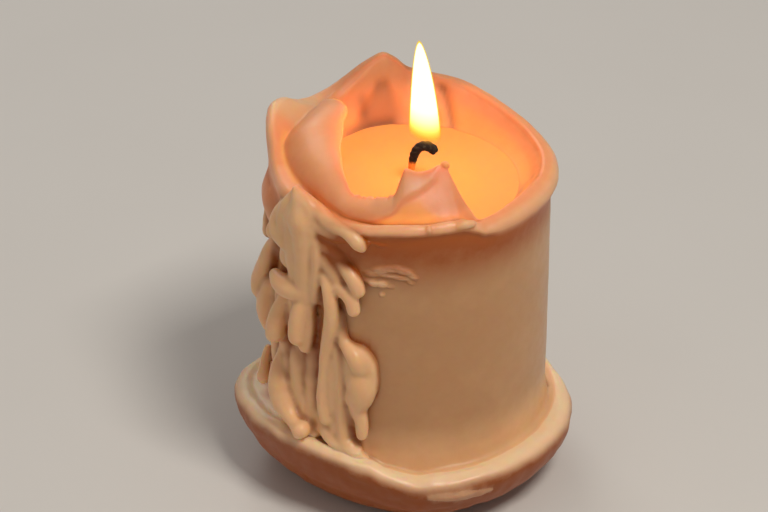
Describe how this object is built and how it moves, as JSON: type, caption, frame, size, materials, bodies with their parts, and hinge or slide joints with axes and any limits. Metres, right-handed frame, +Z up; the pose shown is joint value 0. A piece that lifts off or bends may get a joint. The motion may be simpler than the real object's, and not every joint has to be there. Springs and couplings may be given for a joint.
{
  "type": "melted candle",
  "caption": "Lit, half-melted pillar candle with a slumped and folded rim, a pool of molten wax, runs down one side and a puddle of set wax as its foot.",
  "frame": {"origin": "centre of the flat foot under the puddle, on the pillar's axis", "axes": "+Z up along the pillar and the wick; -Y towards the front, where the rim's torn flap stands; +X to the candle's right as seen from the front"},
  "size_m": [0.0888, 0.0822, 0.1235],
  "materials": {
    "wax": "ivory paraffin wax, satin, glowing peach and amber where it is thin",
    "molten_wax": "clear liquid wax, glossy",
    "wick": "braided cotton, charred black",
    "flame": "burning gas, gives light"
  },
  "bodies": {
    "root": {"wax_body": "wax", "melt_pool": "molten_wax", "wick": "wick", "flame": "flame"}
  },
  "joints": []
}
